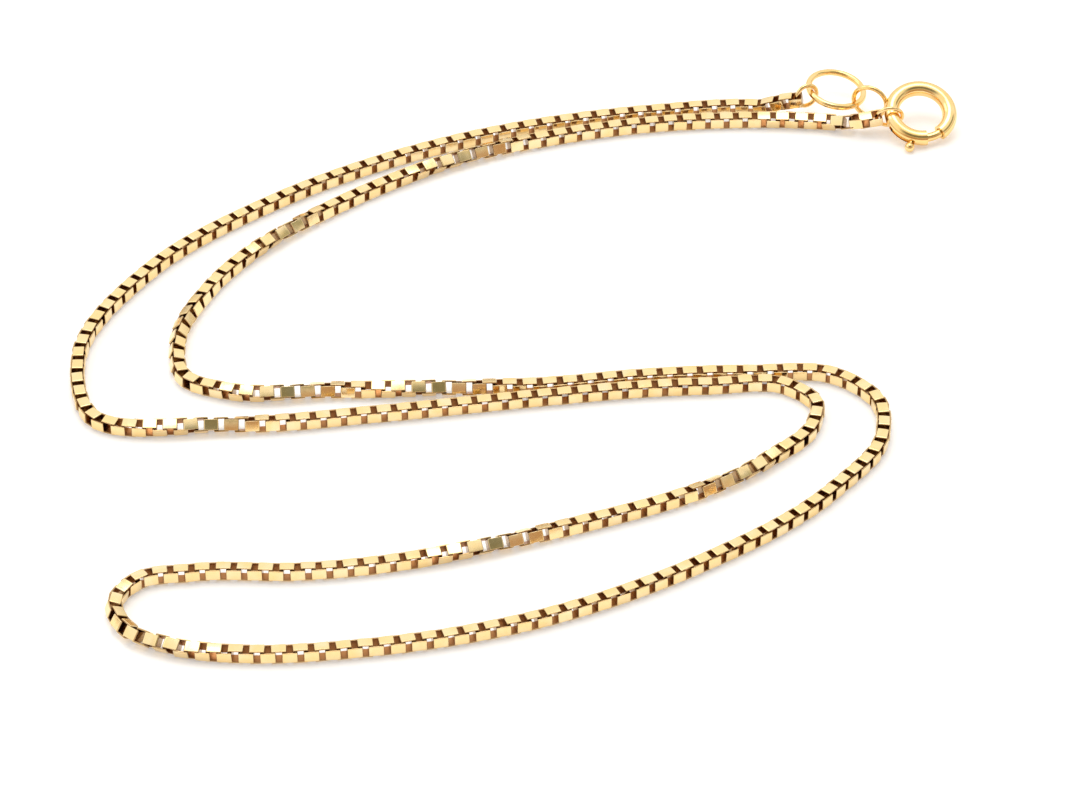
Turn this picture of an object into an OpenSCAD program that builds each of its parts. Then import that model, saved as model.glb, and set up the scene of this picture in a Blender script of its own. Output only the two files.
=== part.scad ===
// Box chain necklace lying closed on a flat surface, +Z up, millimetres.
// The two runs of chain are plain swept tubes of the chain's own height and width.
// Rings, end links and the spring ring clasp are full models.

/* [Chain] */
// Height and width of the chain
chain_size = 1.3; // [1.0:0.05:1.6]
// Width of the strip that each link is bent from
link_width = 0.94; // [0.7:0.02:1.2]
// Length of one link, outside
link_length = 1.29; // [1.0:0.01:1.6]
// Thickness of the strip
strip = 0.17; // [0.1:0.01:0.25]
// Corner radius of a link, outside
link_corner = 0.12; // [0.08:0.01:0.3]
// Gap between an end link and the run beside it
link_gap = 0.06; // [0.03:0.01:0.15]

/* [Rings] */
// Inside diameter of the small end ring
end_ring_bore = 1.7; // [1.4:0.05:2.2]
// Wire diameter of the small end ring
end_ring_wire = 0.4; // [0.3:0.02:0.5]
// Inside diameter of the jump ring
jump_ring_bore = 4.6; // [3.6:0.02:5.6]
// Wire diameter of the jump ring
jump_ring_wire = 0.6; // [0.36:0.02:0.7]
// Inside diameter of the ring held by the clasp
hook_ring_bore = 2.04; // [1.8:0.02:2.6]
// Wire diameter of the ring held by the clasp
hook_ring_wire = 0.36; // [0.3:0.02:0.44]
// Play between two pieces that are linked
play = 0.06; // [0.04:0.01:0.12]

/* [Clasp] */
// Outside diameter of the clasp tube ring
clasp_d = 6.8; // [6.0:0.1:8.0]
// Diameter of the clasp tube
tube_d = 1.4; // [1.2:0.05:1.6]
// Diameter of the sliding bolt
bolt_d = 0.8; // [0.6:0.02:0.9]
// Clearance of the bolt in its bore, and of the trigger in its slot
bolt_play = 0.05; // [0.03:0.01:0.08]
// Opening in the clasp ring, degrees
mouth = 30; // [24:1:36]
// Travel of the bolt, degrees
bolt_travel = 38; // [34:1:42]
// How far the bolt tip sits in its socket, degrees
bolt_seat = 6; // [4:1:8]
// Length of the bolt, degrees of the ring
bolt_length = 104; // [96:1:112]
// Room for the spring behind the bolt, degrees
spring_room = 80; // [60:1:90]
// Diameter of the trigger ball
trigger_d = 0.92; // [0.7:0.02:1.0]
// Diameter of the trigger neck
trigger_neck = 0.4; // [0.3:0.02:0.5]
// Place of the trigger, degrees behind the mouth
trigger_back = 27; // [24:1:30]
// Inside diameter of the soldered eye
eye_bore = 2.76; // [2.2:0.02:3.2]
// Wire diameter of the soldered eye
eye_wire = 0.44; // [0.36:0.02:0.5]
// Depth of the solder joint of the eye
solder = 0.1; // [0.08:0.01:0.16]

/* [Hidden] */
// the pieces, in order

// smoothness of wires and tubes
wire_fn = 40;
ring_fn = 96;
corner_fn = 24;
// rounded tip of the bolt, as a share of its diameter
tip_share = 0.9;
// degrees by which a bore runs out of an end of the tube, and past the bolt tip
run_out = 1;
tip_room = 3;
// smallest corner of the hole in a link
least_corner = 0.01;

// resting route of the chain, x and y, from the end ring round to the clasp
route = [
    [21.0, 35.5], [12.5, 34.8], [-8.2, 29.4], [-23.3, 20.8], [-33.7, 11.0],
    [-39.2, -1.4], [-37.4, -9.5], [-25.6, -10.6], [-13.3, -9.1], [2.3, -6.7],
    [9.0, -5.8], [15.6, -5.3], [22.5, -5.4], [24.8, -7.6], [24.5, -10.5],
    [20.6, -15.0], [3.9, -23.6], [-18.8, -29.3], [-27.6, -29.4], [-32.2, -30.5],
    [-33.8, -33.3], [-32.4, -36.5], [-29.0, -38.3], [-22.5, -39.2], [-13.3, -38.5],
    [0.8, -35.1], [14.0, -28.5], [26.0, -18.8], [30.3, -12.2], [30.1, -7.2],
    [27.0, -4.1], [18.8, -3.6], [10.0, -4.1], [1.0, -5.3], [-7.9, -5.7],
    [-16.6, -5.9], [-25.8, -6.1], [-29.8, -4.2], [-30.7, 0.4], [-28.4, 8.0],
    [-17.5, 20.3], [-4.0, 28.5], [11.5, 32.8], [27.3, 33.1]];
// number of the point where the back run meets the front run
meet = 21;
// how far the tube may stray from the curve between two of its rings
stray = 0.13;

// places and turns of the pieces at the clasp, degrees
clasp_at = [36.45, 33.0];
clasp_dir = 7;
clasp_lean = 22;
rest_gap = 0.01;
mouth_at = 288;
eye_at = 151;
eye_dir = -22;
hook_at = 183;
hook_dir = 3;
hook_up = 104;
jump_lean = 2;
jump_roll = 8.5;
end_dir = 26;
end_up = 84;
// where the jump ring passes the eye and the end ring, degrees on each ring
eye_pass = 194;
jump_to_eye = -33;
jump_to_end = 200;
end_pass = 25;
// where each end link hangs on its ring, degrees, and the way it points
end_hang = 190;
end_heading = [0.95, -0.1, 0.4];
hook_hang = 187;
hook_heading = [0.96, 0.1, 0.2];

// sizes that follow from the ones above
clasp_r = (clasp_d - tube_d) / 2;
tube_r = tube_d / 2;
bore_r = bolt_d / 2 + bolt_play;
eye_r = (eye_bore + eye_wire) / 2;
jump_r = (jump_ring_bore + jump_ring_wire) / 2;
end_r = (end_ring_bore + end_ring_wire) / 2;
hook_r = (hook_ring_bore + hook_ring_wire) / 2;
trigger_r = clasp_r + tube_r + bolt_play + trigger_d / 2;
mouth_a = mouth_at - mouth / 2;
mouth_b = mouth_at + mouth / 2;
trigger_at = mouth_a - trigger_back;
bolt_tip = mouth_b + bolt_seat;
bolt_tail = bolt_tip - bolt_length;
socket_end = bolt_tip + asin(bore_r / clasp_r) + tip_room;
slot_w = trigger_neck + 2 * bolt_play;
slot_end = asin(slot_w / 2 / clasp_r);

// turning matrices
function turn_z(a) = [[cos(a), -sin(a), 0], [sin(a), cos(a), 0], [0, 0, 1]];
function turn_x(a) = [[1, 0, 0], [0, cos(a), -sin(a)], [0, sin(a), cos(a)]];
function turn_y(a) = [[cos(a), 0, sin(a)], [0, 1, 0], [-sin(a), 0, cos(a)]];
function unit(v) = v / norm(v);
// direction in the plane of a ring at an angle on it, and the way the wire runs there
function out(m, a) = m * [cos(a), sin(a), 0];
function along(m, a) = m * [-sin(a), cos(a), 0];

clasp_m = turn_z(clasp_dir) * turn_x(clasp_lean);
eye_m = turn_z(eye_dir) * turn_x(90);
jump_m = turn_x(jump_lean) * turn_y(jump_roll);
end_m = turn_z(end_dir) * turn_x(end_up);
hook_m = turn_z(hook_dir) * turn_x(hook_up);

// the clasp rests on its trigger or on the lowest point of its tube
trigger_low = trigger_d / 2 - trigger_r * out(clasp_m, trigger_at)[2];
tube_low = tube_r + clasp_r * sin(clasp_lean);
clasp_c = [clasp_at[0], clasp_at[1], max(trigger_low, tube_low) + rest_gap];
// the eye is soldered to the outside of the tube and rests on the floor
eye_joint = clasp_c + (clasp_r + tube_r + eye_wire / 2 - solder) * out(clasp_m, eye_at);
eye_rise = eye_joint[2] - (eye_r + eye_wire / 2 + rest_gap);
eye_c = eye_joint - eye_r * out(eye_m, asin(max(-1, min(1, eye_rise / eye_r))));
// the jump ring passes through the eye, the end ring hangs on the jump ring
jump_on_eye = eye_c + (eye_r - eye_wire / 2 - jump_ring_wire / 2 - play) * out(eye_m, eye_pass);
jump_c = jump_on_eye - jump_r * out(jump_m, jump_to_eye);
end_on_jump = jump_c + jump_r * out(jump_m, jump_to_end);
end_c = end_on_jump
    - (end_r - end_ring_wire / 2 - jump_ring_wire / 2 - play) * out(end_m, end_pass);
// the hook ring hangs round the tube of the clasp
hook_on_tube = clasp_c + clasp_r * out(clasp_m, hook_at);
hook_c = hook_on_tube - (hook_r - hook_ring_wire / 2 - tube_r - play) * out(hook_m, 0);

// an end link lies across the wire it hangs on: way it points, then its centre,
// with room for the bow of the ring across the strip
function link_way(m, a, heading) =
    unit(heading - (heading * along(m, a)) * along(m, a));
function bow(r) = r - sqrt(max(0, r * r - link_width * link_width / 4));
function link_reach(r, wire) = link_length / 2 - strip - wire / 2 - play - bow(r);
function link_centre(c, m, r, wire, a, heading) =
    c + r * out(m, a) - link_reach(r, wire) * link_way(m, a, heading);
back_way = link_way(end_m, end_hang, end_heading);
back_c = link_centre(end_c, end_m, end_r, end_ring_wire, end_hang, end_heading);
front_way = link_way(hook_m, hook_hang, hook_heading);
front_c = link_centre(hook_c, hook_m, hook_r, hook_ring_wire, hook_hang, hook_heading);
back_start = back_c - (link_length / 2 + link_gap) * back_way;
front_end = front_c - (link_length / 2 + link_gap) * front_way;

// centre line of the whole chain, with both raised ends
line = concat([back_start], [for (p = route) [p[0], p[1], chain_size / 2]], [front_end]);
last = len(line) - 1;

// tangent at a point of the line, weighted by the spans beside it: level where the
// chain rests, and in line with the end links at both ends
function span(i) = norm(line[i + 1] - line[i]);
function slope(i) = (line[i + 1] - line[i]) / span(i);
function level(v) = [v[0], v[1], 0];
function tangent(i) =
    i == 0 ? -back_way :
    i == last ? front_way :
    level(slope(i) * span(i - 1) + slope(i - 1) * span(i)) / (span(i - 1) + span(i));
// number of tube rings in a span, more where it bends
function turn(i) = acos(min(1, unit(tangent(i)) * unit(tangent(i + 1)))) * PI / 180;
function parts(i) = max(1, round(sqrt(span(i) * turn(i) / (8 * stray))));
// point and direction at a share of a span
function point_at(i, t) =
    (2 * t * t * t - 3 * t * t + 1) * line[i]
    + (t * t * t - 2 * t * t + t) * span(i) * tangent(i)
    + (3 * t * t - 2 * t * t * t) * line[i + 1]
    + (t * t * t - t * t) * span(i) * tangent(i + 1);
function way_at(i, t) = unit(
    (6 * t * t - 6 * t) * line[i]
    + (3 * t * t - 4 * t + 1) * span(i) * tangent(i)
    + (6 * t - 6 * t * t) * line[i + 1]
    + (3 * t * t - 2 * t) * span(i) * tangent(i + 1));

// section of the chain: a square whose corners are cut by the square across it
half = chain_size / 2;
cut = min(link_width, chain_size - strip) / 2;
section = [[half, -cut], [half, cut], [cut, half], [-cut, half],
           [-half, cut], [-half, -cut], [-cut, -half], [cut, -half]];
sides = len(section);
function ring_at(p, w) =
    let (s = unit(cross(w, [0, 0, 1])), u = cross(s, w))
    [for (q = section) p + q[0] * s + q[1] * u];
function run_rings(a, b) = concat(
    [for (i = [a : b - 1]) for (k = [0 : parts(i) - 1])
        ring_at(point_at(i, k / parts(i)), way_at(i, k / parts(i)))],
    [ring_at(point_at(b - 1, 1), way_at(b - 1, 1))]);

module run(a, b) {
    rings = run_rings(a, b);
    n = len(rings);
    points = [for (r = rings) for (p = r) p];
    skin = [for (j = [0 : n - 2]) for (k = [0 : sides - 1])
        let (k2 = (k + 1) % sides, p = j * sides, q = (j + 1) * sides)
        each [[p + k, q + k, q + k2], [p + k, q + k2, p + k2]]];
    caps = [[for (k = [0 : sides - 1]) k],
            [for (k = [sides - 1 : -1 : 0]) (n - 1) * sides + k]];
    polyhedron(points = points, faces = concat(skin, caps), convexity = 10);
}

// puts a piece at a place, turned as the matrix says
module place(c, m) {
    multmatrix([[m[0][0], m[0][1], m[0][2], c[0]],
                [m[1][0], m[1][1], m[1][2], c[1]],
                [m[2][0], m[2][1], m[2][2], c[2]],
                [0, 0, 0, 1]])
        children();
}

module wire_ring(r, wire) {
    rotate_extrude($fn = ring_fn)
        translate([r, 0])
            circle(d = wire, $fn = wire_fn);
}

// part of a ring of round bar between two angles
module bar(r, d, a, b) {
    rotate([0, 0, a])
        rotate_extrude(angle = b - a, $fn = ring_fn)
            translate([r, 0])
                circle(d = d, $fn = wire_fn);
}

module rounded(l, w, r) {
    square([l - 2 * r, w], center = true);
    square([l, w - 2 * r], center = true);
    for (x = [-1, 1])
        for (y = [-1, 1])
            translate([x * (l / 2 - r), y * (w / 2 - r)])
                circle(r = r, $fn = corner_fn);
}

// one link, its length along X and its hole along Z
module link() {
    hole_corner = max(least_corner, link_corner - strip);
    linear_extrude(height = link_width, center = true)
        difference() {
            rounded(link_length, chain_size, link_corner);
            rounded(link_length - 2 * strip, chain_size - 2 * strip, hole_corner);
        }
}

// matrix of an end link: X along the chain, Z along the wire that it hangs on
function link_turn(way, wire_way) =
    let (side = cross(wire_way, way))
    [[way[0], side[0], wire_way[0]],
     [way[1], side[1], wire_way[1]],
     [way[2], side[2], wire_way[2]]];

module chain_back() {
    color([0.86, 0.68, 0.36])
        run(0, meet);
}

module chain_front() {
    color([0.88, 0.7, 0.38])
        run(meet, last);
}

module end_link_back() {
    color([0.9, 0.72, 0.4])
        place(back_c, link_turn(back_way, along(end_m, end_hang)))
            link();
}

module end_link_front() {
    color([0.9, 0.72, 0.4])
        place(front_c, link_turn(front_way, along(hook_m, hook_hang)))
            link();
}

module end_ring() {
    color([0.84, 0.64, 0.32])
        place(end_c, end_m)
            wire_ring(end_r, end_ring_wire);
}

module jump_ring() {
    color([0.92, 0.74, 0.42])
        place(jump_c, jump_m)
            wire_ring(jump_r, jump_ring_wire);
}

module hook_ring() {
    color([0.84, 0.64, 0.32])
        place(hook_c, hook_m)
            wire_ring(hook_r, hook_ring_wire);
}

// radial pin at an angle on the clasp ring, from one radius to another
module radial(a, r0, r1, d) {
    rotate([0, 0, a])
        translate([r0, 0, 0])
            rotate([0, 90, 0])
                cylinder(h = r1 - r0, d = d, $fn = wire_fn);
}

module clasp_body() {
    color([0.88, 0.7, 0.38]) {
        place(clasp_c, clasp_m)
            difference() {
                bar(clasp_r, tube_d, mouth_b, mouth_a + 360);
                // bore of the bolt and its spring, and the socket across the mouth
                bar(clasp_r, 2 * bore_r, bolt_tail - spring_room, mouth_a + run_out);
                bar(clasp_r, 2 * bore_r, mouth_b - run_out, socket_end);
                // slot of the trigger, on the outer side of the tube
                rotate([0, 0, trigger_at - bolt_travel - slot_end])
                    rotate_extrude(angle = bolt_travel + 2 * slot_end, $fn = ring_fn)
                        translate([clasp_r, -slot_w / 2])
                            square([tube_r + trigger_d, slot_w]);
            }
        place(eye_c, eye_m)
            wire_ring(eye_r, eye_wire);
    }
}

module clasp_bolt() {
    color([0.9, 0.74, 0.44])
        place(clasp_c, clasp_m) {
            bar(clasp_r, bolt_d, bolt_tail, bolt_tip);
            rotate([0, 0, bolt_tip])
                translate([clasp_r, 0, 0])
                    sphere(d = bolt_d * tip_share, $fn = wire_fn);
            radial(trigger_at, clasp_r, trigger_r, trigger_neck);
            rotate([0, 0, trigger_at])
                translate([trigger_r, 0, 0])
                    sphere(d = trigger_d, $fn = wire_fn);
        }
}

chain_back();
chain_front();
end_link_back();
end_link_front();
end_ring();
jump_ring();
hook_ring();
clasp_body();
clasp_bolt();
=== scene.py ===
import math

import bpy
import numpy as np
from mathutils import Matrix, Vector


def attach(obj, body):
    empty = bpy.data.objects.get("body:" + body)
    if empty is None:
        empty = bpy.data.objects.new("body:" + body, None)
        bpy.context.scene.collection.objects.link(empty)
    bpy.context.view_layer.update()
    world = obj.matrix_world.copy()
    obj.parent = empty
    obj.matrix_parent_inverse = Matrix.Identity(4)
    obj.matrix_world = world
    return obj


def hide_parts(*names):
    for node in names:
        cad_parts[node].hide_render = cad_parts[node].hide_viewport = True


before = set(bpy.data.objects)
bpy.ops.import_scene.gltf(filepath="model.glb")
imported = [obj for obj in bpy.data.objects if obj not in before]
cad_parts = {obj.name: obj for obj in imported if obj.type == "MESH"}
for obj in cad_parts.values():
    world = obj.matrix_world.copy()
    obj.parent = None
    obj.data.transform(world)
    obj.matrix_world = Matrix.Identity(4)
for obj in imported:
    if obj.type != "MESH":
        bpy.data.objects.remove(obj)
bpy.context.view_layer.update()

MM = 0.001

# ---------------------------------------------------------------- a link, metres
CHAIN_SIZE = 1.30 * MM  # height of a link, and of the chain
LINK_LENGTH = 1.29 * MM
LINK_WIDTH = 0.94 * MM  # width of the strip
STRIP = 0.17 * MM  # thickness of the strip
LINK_CORNER = 0.12 * MM  # outer radius of a link's corners
INNER_CORNER = 0.02 * MM
EDGE_ROUND = 0.036 * MM  # rounding of the strip's edges
CROWN = 0.012 * MM  # how far a plate is domed across the strip
EDGE_DROP = 0.8 * CROWN  # how far below the dome's top the rounding begins
BOW = 0.010 * MM  # how far a plate is bowed along the link

# round one edge of the strip, from its outer to its inner face: angle of the normal above
# the strip's middle plane, side of that plane, and how much painted shade the place gets,
# which paints a dark outline along the cut edge
STRIP_EDGE = ((55, 1, 0.15), (12, 1, 1), (-12, -1, 1), (-60, -1, 0.6))
EDGE_INNER = 0.5  # how much the inner half of an edge belongs to the inner face
PLATE_SHARES = (-1, -0.5, 0, 0.5, 1)  # where a plate's points lie across it
BOW_SHARES = (-0.55, 0, 0.55)  # where a plate's points lie along it
CORNER_ANGLES = (0, 22, 45, 68, 90)  # where a corner's points lie, in degrees
# a link's corner gets no painted shade at the long plate and full painted shade at the end
# plate, which sits in the crevice between links: where on the way round it the change
# begins, and how fast it goes
SHADE_FROM, SHADE_RATE = 0.35, 1.55

# ---------------------------------------------------------------- how the chain lies
PITCH_COUNT = 510  # steps from one end link to the other
FLOOR_Z = -0.01 * MM

# resting route of the chain, x and y, from the end ring round to the clasp
ROUTE = [
    (0.0210, 0.0355), (0.0125, 0.0348), (-0.0082, 0.0294), (-0.0233, 0.0208),
    (-0.0337, 0.0110), (-0.0392, -0.0014), (-0.0374, -0.0095), (-0.0256, -0.0106),
    (-0.0133, -0.0091), (0.0023, -0.0067), (0.0090, -0.0058), (0.0156, -0.0053),
    (0.0225, -0.0054), (0.0248, -0.0076), (0.0245, -0.0105), (0.0206, -0.0150),
    (0.0039, -0.0236), (-0.0188, -0.0293), (-0.0276, -0.0294), (-0.0322, -0.0305),
    (-0.0338, -0.0333), (-0.0324, -0.0365), (-0.0290, -0.0383), (-0.0225, -0.0392),
    (-0.0133, -0.0385), (0.0008, -0.0351), (0.0140, -0.0285), (0.0260, -0.0188),
    (0.0303, -0.0122), (0.0301, -0.0072), (0.0270, -0.0041), (0.0188, -0.0036),
    (0.0100, -0.0041), (0.0010, -0.0053), (-0.0079, -0.0057), (-0.0166, -0.0059),
    (-0.0258, -0.0061), (-0.0298, -0.0042), (-0.0307, 0.0004), (-0.0284, 0.0080),
    (-0.0175, 0.0203), (-0.0040, 0.0285), (0.0115, 0.0328), (0.0273, 0.0331),
]
MEET = 21  # the point of the line where the back run meets the front run
SPAN_STEPS = 60  # steps of the line between two of its points

# the two end links: centre, the way along them and the way of their ring's wire
BACK_LINK = ((0.0249303, 0.03494762, 0.00187639), (0.97414, -0.10161, 0.20182),
             (0.2012, -0.0164, -0.97941))
FRONT_LINK = ((0.03220209, 0.03248441, 0.00159357), (0.98295, 0.11748, 0.14142),
              (0.10914, 0.24617, -0.96306))
BACK_START = (0.02424354, 0.03501925, 0.0017341)
FRONT_END = (0.03150911, 0.03240158, 0.00149387)
END_STEP = 0.705 * MM  # from an end link's middle to the end of the line
HALF_CHORD = 0.3 * MM  # a link's way is taken over this length on both sides

# how the chain rolls about its own line: from and to, in metres along it, and
# the turn between them in degrees
ROLLS = [
    (0.0900, 0.1062, 90), (0.1577, 0.1713, -90), (0.1778, 0.1953, 96),
    (0.2149, 0.2333, -100), (0.2600, 0.2850, 4), (0.3320, 0.3486, 90),
    (0.3451, 0.3616, 90), (0.3620, 0.3770, 90), (0.3797, 0.3927, 90),
    (0.3975, 0.4145, 90), (0.4332, 0.4355, 14), (0.4355, 0.4420, 4),
]
RAMP = 0.35  # share of the softened curve in a roll, the rest is straight
BACK_SETTLE = 6.5 * MM  # the lengths over which the end links' own rolls die out
FRONT_SETTLE = 3.9 * MM
LIFT_EASE = 4 * MM  # the length over which the lift of rolled links fades at the ends
LIFT_LINKS = 9  # how many links the lift is smoothed over

# loose links: how much their roll and their way stray, in degrees
ROLL_STRAY, WAY_STRAY = 1.6, 1.1
END_TONE = 0.3  # tone of the end links, where the others' goes from 0 to 1

rng = np.random.default_rng(11)  # one seed, so that each run is the same

# ---------------------------------------------------------------- gold
CHAIN_FACE = (0.985, 0.755, 0.39)
WIRE_FACE = (0.98, 0.69, 0.29)
PALE = (1.0, 1.045, 1.2)  # factors to the palest and the warmest of a gold
WARM = (1.0, 0.955, 0.86)
TONE_RANGE = (0.36, 0.64)  # noise from the warmest to the palest
LINK_TONE = 0.55  # how far one link's own tone may pull it to the warmest
GOLD_INNER_SHADE = (0.40, 0.152, 0.046)  # painted shade on inner faces
GOLD_EDGE_SHADE = (0.17, 0.062, 0.017)  # painted shade on cut edges and end plates
# painted shade where the links hide each other: what marks the place, share and colour of
# the painted shade
PAINTED_SHADE_PLACES = (("inner", 0.92, GOLD_INNER_SHADE), ("edge", 0.4, GOLD_EDGE_SHADE),
               ("bend", 0.75, GOLD_EDGE_SHADE))
SMEAR_FINER = 3.1  # smears are this much finer than tone changes
SMEAR_RANGE = (0.3, 0.7)
SMEAR_LOW, SMEAR_HIGH = 0.65, 1.35  # factors to the roughness
INNER_ROUGH = 0.16  # more roughness on inner faces
LINE_STRETCH = (1.0, 6.0, 2.5)  # polishing lines run along X
LINE_STRENGTH = 0.35
LINE_DEPTH = 0.004 * MM
TONE_DETAIL, FINE_DETAIL = 3, 4  # steps of detail in the noise of tones, smears and lines

# ---------------------------------------------------------------- studio
FLOOR_HALF = 1.5
FLOOR_DARK, FLOOR_PALE = (0.890, 0.886, 0.886), (0.910, 0.908, 0.906)
FLOOR_GLOW = (1.0, 0.985, 0.99)
GLOW_STRENGTH = 0.25
FLOOR_ROUGH = 0.75
FLOOR_GRAIN = 1800

# softboxes: bearing, height, distance, size, watts, colour
SOFTBOXES = {
    "overhead_softbox": (0, 73, 0.8, 0.42, 1.4, (1.0, 0.985, 0.97)),
    "left_softbox": (-75, 42, 0.9, 0.35, 0.5, (1.0, 0.99, 0.97)),
}

# the room's light: its colours low down and above, and the sines of the heights
# between which the one goes over into the other, with their shares there
ROOM_LOW, ROOM_HIGH = (0.42, 0.37, 0.29), (1.09, 1.09, 1.08)
ROOM_RANGE = (-0.05, 0.42, 0.3, 1.0)
# the room's dark parts, in degrees: heights from and to, softness, bearing of the
# middle, whole as far as, gone beyond, and the colour. A warm part and an olive grey
# part above it are in front of the chain, and a smaller grey part is on the right
DARK_PARTS = (
    (2, 26, 8, 10, 35, 65, (0.52, 0.345, 0.23)),
    (38, 62, 10, 10, 30, 65, (0.235, 0.235, 0.18)),
    (26, 42, 5, 84, 16, 26, (0.37, 0.37, 0.28)),
)

CAMERA_AT = (0.00105, -0.30508, 0.25006)
CAMERA_AIM = (0.00105, -0.00785, 0.00065)
LENS, SENSOR = 150, 36  # millimetres
CLIP = (0.01, 10)


# ---------------------------------------------------------------- node trees
class Tree:
    """The nodes of a material or world, with short ways to add to them."""

    def __init__(self, owner):
        owner.use_nodes = True
        self.nodes, self.links = owner.node_tree.nodes, owner.node_tree.links

    def set(self, socket, value):
        """Give a socket another node's output, a colour of three parts or a number."""
        if isinstance(value, bpy.types.NodeSocket):
            self.links.new(value, socket)
        elif socket.type == "RGBA":
            socket.default_value = (*value, 1)
        else:
            socket.default_value = value

    def node(self, kind, inputs=None, **settings):
        """One new node, with inputs by name or number, and its other settings."""
        n = self.nodes.new("ShaderNode" + kind)
        for key, value in settings.items():
            setattr(n, key, value)
        for key, value in (inputs or {}).items():
            self.set(n.inputs[key], value)
        return n

    def noise(self, place, scale, detail=2):
        inputs = {"Vector": place, "Scale": scale, "Detail": detail}
        return self.node("TexNoise", inputs).outputs["Fac"]

    def attribute(self, word):
        return self.node("Attribute", attribute_name=word).outputs["Fac"]

    def mixed(self, share, a, b):
        return self.node("Mix", {0: share, 6: a, 7: b}, data_type="RGBA").outputs[2]

    def ranged(self, value, low, high, to_low=0, to_high=1, curve="LINEAR"):
        inputs = {"Value": value, "From Min": low, "From Max": high, "To Min": to_low,
                  "To Max": to_high}
        return self.node("MapRange", inputs, interpolation_type=curve).outputs["Result"]

    def arithmetic(self, operation, a, b):
        return self.node("Math", {0: a, 1: b}, operation=operation).outputs[0]


# ---------------------------------------------------------------- materials
def gold(name, face, rough, tone_scale, line_scale):
    """Polished yellow gold: soft tone changes, fine polishing lines, and painted shade: a
    deeper, darker colour on inner faces, on cut edges and on end plates, where shade falls
    between the links."""
    m = bpy.data.materials.new(name)
    tree = Tree(m)
    shader = tree.nodes["Principled BSDF"]
    place = tree.node("TexCoord").outputs["Object"]
    pale = tuple(min(1.0, c * f) for c, f in zip(face, PALE))
    warm = tuple(c * f for c, f in zip(face, WARM))

    tone = tree.noise(place, tone_scale, TONE_DETAIL)
    colour = tree.mixed(tree.ranged(tone, *TONE_RANGE), warm, pale)
    # each link's own random tone, then the painted shade on inner faces, cut edges and end
    # plates
    for word, share, tone_and_shade in (("tone", LINK_TONE, warm), *PAINTED_SHADE_PLACES):
        reach = tree.ranged(tree.attribute(word), 0, 1, 0, share)
        colour = tree.mixed(reach, colour, tone_and_shade)

    smear = tree.noise(place, tone_scale * SMEAR_FINER, FINE_DETAIL)
    worn = tree.ranged(smear, *SMEAR_RANGE, rough * SMEAR_LOW, rough * SMEAR_HIGH)
    inner = tree.ranged(tree.attribute("inner"), 0, 1, 0, INNER_ROUGH)

    along = tree.node("Mapping", {"Vector": place, "Scale": LINE_STRETCH})
    lines = tree.noise(along.outputs["Vector"], line_scale, FINE_DETAIL)
    bump = tree.node("Bump", {"Height": lines, "Strength": LINE_STRENGTH,
                              "Distance": LINE_DEPTH})

    shader.inputs["Metallic"].default_value = 1.0
    tree.set(shader.inputs["Base Color"], colour)
    tree.set(shader.inputs["Roughness"], tree.arithmetic("ADD", worn, inner))
    tree.set(shader.inputs["Normal"], bump.outputs["Normal"])
    return m


chain_gold = gold("chain_gold", CHAIN_FACE, rough=0.17, tone_scale=700, line_scale=9000)
wire_gold = gold("findings_gold", WIRE_FACE, rough=0.13, tone_scale=420, line_scale=5200)


def floor_material():
    """A light table: it glows a little from below, so shadows stay faint."""
    m = bpy.data.materials.new("pale_floor")
    tree = Tree(m)
    shader = tree.nodes["Principled BSDF"]
    place = tree.node("TexCoord").outputs["Object"]
    ramp = tree.node("ValToRGB", {"Fac": tree.noise(place, FLOOR_GRAIN)})
    for stop, colour in zip(ramp.color_ramp.elements, (FLOOR_DARK, FLOOR_PALE)):
        stop.color = (*colour, 1)
    shader.inputs["Roughness"].default_value = FLOOR_ROUGH
    shader.inputs["Emission Color"].default_value = (*FLOOR_GLOW, 1)
    shader.inputs["Emission Strength"].default_value = GLOW_STRENGTH
    tree.set(shader.inputs["Base Color"], ramp.outputs["Color"])
    return m


# ---------------------------------------------------------------- meshes
def mesh_object(name, verts, normals, quads, layers, material):
    """One object from arrays of corners, normals and four-sided faces."""
    me = bpy.data.meshes.new(name)
    me.vertices.add(len(verts))
    me.vertices.foreach_set("co", verts.ravel())
    me.loops.add(quads.size)
    me.loops.foreach_set("vertex_index", quads.ravel())
    me.polygons.add(len(quads))
    me.polygons.foreach_set("loop_start", np.arange(len(quads)) * quads.shape[1])
    me.update(calc_edges=True)
    me.shade_smooth()
    for word, values in layers.items():
        a = me.attributes.new(word, "FLOAT", "POINT")
        a.data.foreach_set("value", values.ravel())
    me.normals_split_custom_set_from_vertices(normals.tolist())
    me.materials.append(material)
    o = bpy.data.objects.new(name, me)
    bpy.context.scene.collection.objects.link(o)
    return o


def cos_sin(degrees):
    return math.cos(math.radians(degrees)), math.sin(math.radians(degrees))


def strip_profile():
    """Corners of the strip's section: across, outwards, the normal there, and how much each
    belongs to an edge and to the inner face, the places where shade is painted."""
    half, flat = STRIP / 2, LINK_WIDTH / 2 - EDGE_ROUND
    centre = half - EDGE_DROP - EDGE_ROUND

    def plate(w):
        slope = 2 * CROWN * w / (LINK_WIDTH / 2) ** 2
        size = math.hypot(1, slope)
        drop = CROWN * (w / (LINK_WIDTH / 2)) ** 2
        return w, half - drop, slope / size, 1 / size, 0, 0

    def edge(side, corners):
        for angle, face, cut in corners:
            c, s = cos_sin(angle)
            yield (side * (flat + EDGE_ROUND * c), face * centre + EDGE_ROUND * s,
                   side * c, s, cut, 0 if face > 0 else EDGE_INNER)

    return np.array([
        *(plate(flat * share) for share in PLATE_SHARES),
        *edge(1, STRIP_EDGE),
        *((w, -half, 0, -1, 0, 1) for w in (flat, 0, -flat)),
        *edge(-1, reversed(STRIP_EDGE)),
    ])


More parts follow.
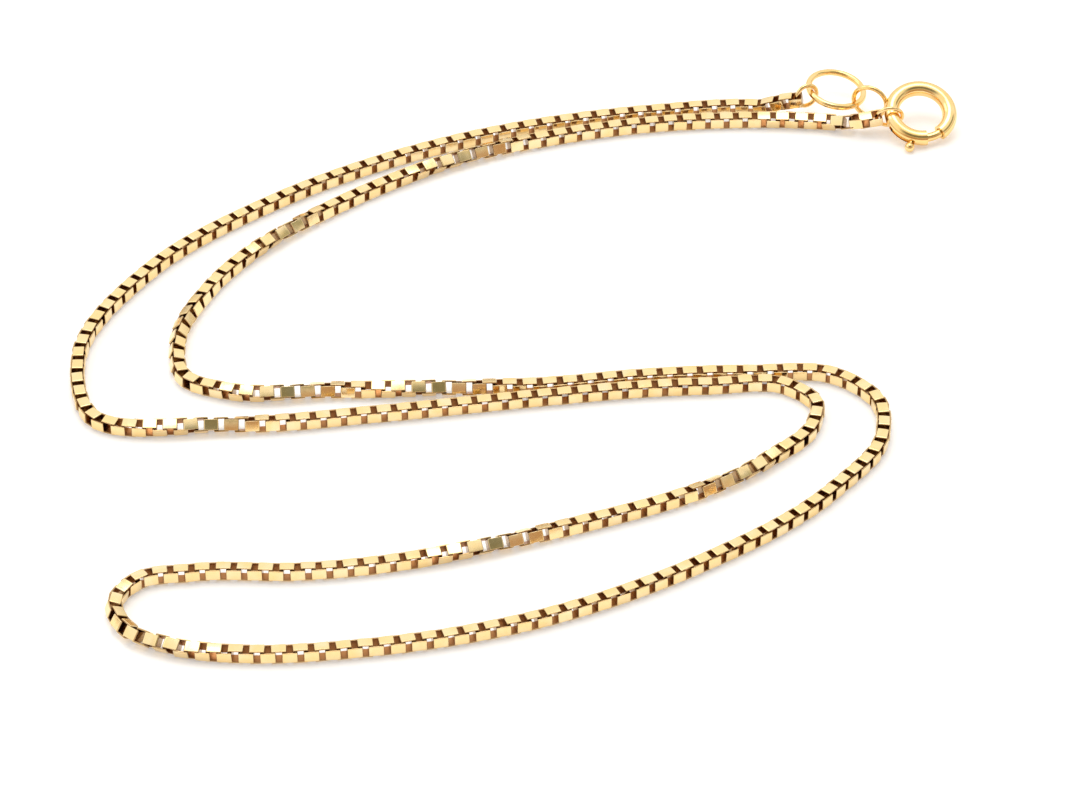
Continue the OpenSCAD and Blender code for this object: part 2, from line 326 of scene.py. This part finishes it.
def link_path():
    """Round a link: x and y of the strip's outer and inner face, the outward normal, and how
    much a place belongs to an end plate, where shade is painted."""
    r, ri = LINK_CORNER, INNER_CORNER
    rows = []
    # each quarter: one plate, then the corner after it
    for quarter, (c, s) in enumerate(((1, 0), (0, 1), (-1, 0), (0, -1))):
        is_end = quarter % 2 == 0
        sizes = (LINK_LENGTH / 2, CHAIN_SIZE / 2)
        reach, side = sizes if is_end else sizes[::-1]
        flat, inner_flat = side - r, side - STRIP - ri
        for share in BOW_SHARES:
            slope = 2 * BOW * share / flat
            size = math.hypot(1, slope)
            x = reach - BOW * share**2
            rows.append((c, s, x, flat * share, x - STRIP, inner_flat * share,
                         1 / size, slope / size, is_end))
        for angle in CORNER_ANGLES:
            ca, sa = cos_sin(angle)
            bow = BOW if angle > 45 else 0  # of the next plate
            # share of the way from a long plate to an end plate
            turned = (90 - angle if is_end else angle) / 90
            rows.append((c, s, reach - BOW - r + r * ca, flat - bow + r * sa,
                         reach - BOW - STRIP - ri + ri * ca, inner_flat - bow + ri * sa,
                         ca, sa, max(0, min(1, SHADE_RATE * (turned - SHADE_FROM)))))
    c, s, x, y, xi, yi, nx, ny, end = np.array(rows, float).T
    return np.stack([x * c - y * s, x * s + y * c, xi * c - yi * s, xi * s + yi * c,
                     nx * c - ny * s, nx * s + ny * c, end], -1)


def link_form():
    """One box link at the origin: length along X, the hole along Z."""
    x, y, xi, yi, nx, ny, end = link_path().T[:, :, None]
    across, lift, slant, outward, edge, inner = strip_profile().T[:, None, :]
    n, m = x.size, across.size
    share = lift / STRIP + 0.5  # from the inner to the outer face
    verts = np.broadcast_arrays(xi + (x - xi) * share, yi + (y - yi) * share, across)
    normals = np.broadcast_arrays(nx * outward, ny * outward, slant)
    verts, normals = (np.stack(a, -1).reshape(-1, 3) for a in (verts, normals))
    i, j = np.meshgrid(np.arange(n), np.arange(m), indexing="ij")
    i2, j2 = (i + 1) % n, (j + 1) % m
    quads = np.stack([i * m + j, i2 * m + j, i2 * m + j2, i * m + j2], -1).reshape(-1, 4)
    # cut edges, inner faces and end plates: the places where shade is painted
    marks = {"edge": edge, "inner": inner, "bend": end}
    marks = {word: np.broadcast_to(values, (n, m)).ravel() for word, values in marks.items()}
    return verts, normals, quads, marks


LINK = link_form()


def links_object(name, centres, turns, tones):
    """Links at the given centres and turns, joined in one object."""
    verts, normals, quads, marks = LINK
    v = np.einsum("kij,nj->kni", turns, verts) + centres[:, None, :]
    w = np.einsum("kij,nj->kni", turns, normals)
    q = quads[None] + (np.arange(len(centres)) * len(verts))[:, None, None]
    layers = {word: np.tile(values, len(centres)) for word, values in marks.items()}
    layers["tone"] = np.repeat(tones, len(verts))
    return mesh_object(name, v.reshape(-1, 3), w.reshape(-1, 3), q.reshape(-1, 4),
                       layers, chain_gold)


# ---------------------------------------------------------------- the chain's line
def unit(v):
    return v / np.linalg.norm(v, axis=-1, keepdims=True)


def chain_line():
    """Points along the chain's centre line, the length so far, and the length where
    the runs meet. The same curve as the tubes': level tangents, weighted by the
    spans."""
    line = np.array([BACK_START, *[(x, y, CHAIN_SIZE / 2) for x, y in ROUTE], FRONT_END])
    span = np.linalg.norm(np.diff(line, axis=0), axis=1)
    slope = np.diff(line, axis=0) / span[:, None]
    way = np.empty_like(line)
    way[0], way[-1] = -np.array(BACK_LINK[1]), FRONT_LINK[1]
    for i in range(1, len(line) - 1):
        way[i] = (slope[i] * span[i - 1] + slope[i - 1] * span[i]) / (span[i - 1] + span[i])
        way[i, 2] = 0
    t = (np.arange(SPAN_STEPS) / SPAN_STEPS)[:, None]
    points = [
        (2 * t**3 - 3 * t**2 + 1) * line[i]
        + (t**3 - 2 * t**2 + t) * d * way[i]
        + (3 * t**2 - 2 * t**3) * line[i + 1]
        + (t**3 - t**2) * d * way[i + 1]
        for i, d in enumerate(span)
    ]
    points = np.concatenate([*points, line[-1:]])
    run = np.r_[0, np.cumsum(np.linalg.norm(np.diff(points, axis=0), axis=1))]
    return points, run, run[MEET * SPAN_STEPS]


line, run, meet_at = chain_line()
whole = run[-1]


def on_line(lengths):
    """The places at the given lengths along the line."""
    return np.stack([np.interp(lengths, run, line[:, k]) for k in range(3)], -1)


def own_frame(way):
    """Level and rising directions square to the way."""
    level = unit(np.cross([0, 0, 1.0], way))
    return level, np.cross(way, level)


def wire_roll(way, wire):
    """How far a ring's wire is turned about the way of the link on it, in degrees."""
    level, rise = own_frame(np.array(way))
    return math.degrees(math.atan2(np.dot(wire, rise), np.dot(wire, level)))


def roll_between(x, low, high):
    """How much of a roll is done: 0 before low, 1 after high."""
    t = np.clip((x - low) / (high - low), 0, 1)
    return RAMP * t * t * (3 - 2 * t) + (1 - RAMP) * t


pitch = (whole + 2 * END_STEP) / PITCH_COUNT
number = np.arange(1, PITCH_COUNT)
at = number * pitch - END_STEP
centres = on_line(at)
ways = unit(on_line(at + HALF_CHORD) - on_line(at - HALF_CHORD))

# the chain's roll: flat on one of its sides, but for the rolls and for the two ends,
# where it follows its end links
start_roll = wire_roll([-x for x in BACK_LINK[1]], BACK_LINK[2])
flat_roll = 90 * round(start_roll / 90)
last_roll = flat_roll + sum(turn for *_, turn in ROLLS)
end_roll = wire_roll(FRONT_LINK[1], FRONT_LINK[2])
end_roll += 180 * round((last_roll - end_roll) / 180)
roll = flat_roll + sum(turn * roll_between(at, low, high) for low, high, turn in ROLLS)
roll += (start_roll - flat_roll) * (1 - roll_between(at, 0, BACK_SETTLE))
roll += (end_roll - last_roll) * roll_between(at, whole - FRONT_SETTLE, whole)
roll = np.radians(roll + rng.normal(0, ROLL_STRAY, len(at)))

# a rolled link stands on its edges, so the chain's centre rises there
c, s = np.abs(np.cos(roll)), np.abs(np.sin(roll))
half_size, half_width = CHAIN_SIZE / 2, LINK_WIDTH / 2
stand = np.maximum(half_size * c + half_width * s, half_size * s + half_width * c)
kernel = np.hanning(LIFT_LINKS)
stand = np.convolve(np.pad(stand, LIFT_LINKS // 2, "edge"), kernel / kernel.sum(), "valid")
centres[:, 2] += (stand - half_size) * np.clip(np.minimum(at, whole - at) / LIFT_EASE, 0, 1)

level, rise = own_frame(ways)
side = np.cos(roll)[:, None] * level + np.sin(roll)[:, None] * rise
top = -np.sin(roll)[:, None] * level + np.cos(roll)[:, None] * rise
hole = np.where((number % 2 == 0)[:, None], side, top)
turns = np.stack([ways, np.cross(hole, ways), hole], -1)

# small random turns, as loose links have
a, b = np.radians(rng.normal(0, WAY_STRAY, (2, len(at))))
loose = np.tile(np.eye(3), (len(at), 1, 1))
loose[:, 0, 1], loose[:, 1, 0] = -a, a
loose[:, 0, 2], loose[:, 2, 0] = b, -b
turns = turns @ loose
tones = rng.random(len(at))

# ---------------------------------------------------------------- pieces
body = "necklace"


def stands_for(o, node):
    """The piece takes the place of a tube or a plain link."""
    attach(o, body)
    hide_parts(node)


back = at < meet_at
for name, node, part in (
    ("box_links_back_top", "chain_back", back & (at < meet_at / 2)),
    ("box_links_back_low", "chain_back", back & (at >= meet_at / 2)),
    ("box_links_front_low", "chain_front", ~back & (at < (meet_at + whole) / 2)),
    ("box_links_front_top", "chain_front", ~back & (at >= (meet_at + whole) / 2)),
):
    stands_for(links_object(name, centres[part], turns[part], tones[part]), node)

for name, node, (place, way, wire) in (
    ("end_link_back_strip", "end_link_back", BACK_LINK),
    ("end_link_front_strip", "end_link_front", FRONT_LINK),
):
    x, z = unit(np.array(way)), unit(np.array(wire))
    turn = np.stack([x, np.cross(z, x), z], -1)[None]
    stands_for(links_object(name, np.array([place]), turn, np.array([END_TONE])), node)

for node in ("end_ring", "jump_ring", "hook_ring", "clasp_body", "clasp_bolt"):
    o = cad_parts[node]
    if not o.data.materials:
        o.data.materials.append(wire_gold)
    for slot in o.material_slots:
        slot.material = wire_gold

# ---------------------------------------------------------------- floor
corners = [(x * FLOOR_HALF, y * FLOOR_HALF, FLOOR_Z)
           for x, y in ((-1, -1), (1, -1), (1, 1), (-1, 1))]
floor = mesh_object("pale_floor", np.array(corners), np.tile([0, 0, 1.0], (4, 1)),
                    np.array([[0, 1, 2, 3]]), {}, floor_material())

# ---------------------------------------------------------------- light
scene = bpy.context.scene
scene.view_settings.view_transform = "Standard"


def face_back(o, place, way):
    """Put an object at a place, looking against the given way."""
    o.location = place
    o.rotation_mode = "QUATERNION"
    o.rotation_quaternion = way.to_track_quat("Z", "Y")
    scene.collection.objects.link(o)


def softbox(name, bearing, height, distance, size, watts, colour):
    """A square area light that looks at the necklace. The bearing is 0 over the far
    side and grows to the right; the height is above the floor, in degrees."""
    data = bpy.data.lights.new(name, "AREA")
    data.shape = "SQUARE"
    data.size = size
    data.energy = watts
    data.color = colour
    (cb, sb), (ch, sh) = cos_sin(bearing), cos_sin(height)
    way = Vector((sb * ch, cb * ch, sh))
    face_back(bpy.data.objects.new(name, data), way * distance, way)


for name, values in SOFTBOXES.items():
    softbox(name, *values)

scene.world = bpy.data.worlds.new("studio")
tree = Tree(scene.world)
toward = tree.node("TexCoord").outputs["Generated"]
up = tree.node("SeparateXYZ", {0: toward}).outputs["Z"]


def band(low, high, soft, bearing, full, none):
    """How much a direction belongs to a band of the room between two heights, in
    degrees. The bearing of its middle is 0 in front of the chain and grows to the
    right; it is whole as far as full on both sides and gone beyond none."""

    def sine(degrees):
        return cos_sin(degrees)[1]

    cb, sb = cos_sin(bearing)
    flat = tree.node("VectorMath", {0: toward, 1: (1, 1, 0)}, operation="MULTIPLY")
    level = tree.node("VectorMath", {0: flat.outputs["Vector"]}, operation="NORMALIZE")
    near = tree.node("VectorMath", {0: level.outputs["Vector"], 1: (sb, -cb, 0)},
                     operation="DOT_PRODUCT").outputs["Value"]
    across = tree.ranged(near, cos_sin(none)[0], cos_sin(full)[0], curve="SMOOTHSTEP")
    above = tree.ranged(up, sine(low - soft), sine(low), curve="SMOOTHSTEP")
    below = tree.ranged(up, sine(high), sine(high + soft), 1, 0, curve="SMOOTHSTEP")
    inside = tree.arithmetic("MULTIPLY", across, above)
    return tree.arithmetic("MULTIPLY", inside, below)


room = tree.mixed(tree.ranged(up, *ROOM_RANGE, curve="SMOOTHSTEP"), ROOM_LOW, ROOM_HIGH)
for *where, colour in DARK_PARTS:
    room = tree.mixed(band(*where), room, colour)
sky = tree.nodes["Background"]
tree.set(sky.inputs["Color"], room)
sky.inputs["Strength"].default_value = 1.0

# ---------------------------------------------------------------- camera
data = bpy.data.cameras.new("camera")
data.lens, data.sensor_width = LENS, SENSOR
data.clip_start, data.clip_end = CLIP
camera = bpy.data.objects.new("camera", data)
face_back(camera, CAMERA_AT, Vector(CAMERA_AT) - Vector(CAMERA_AIM))
scene.camera = camera
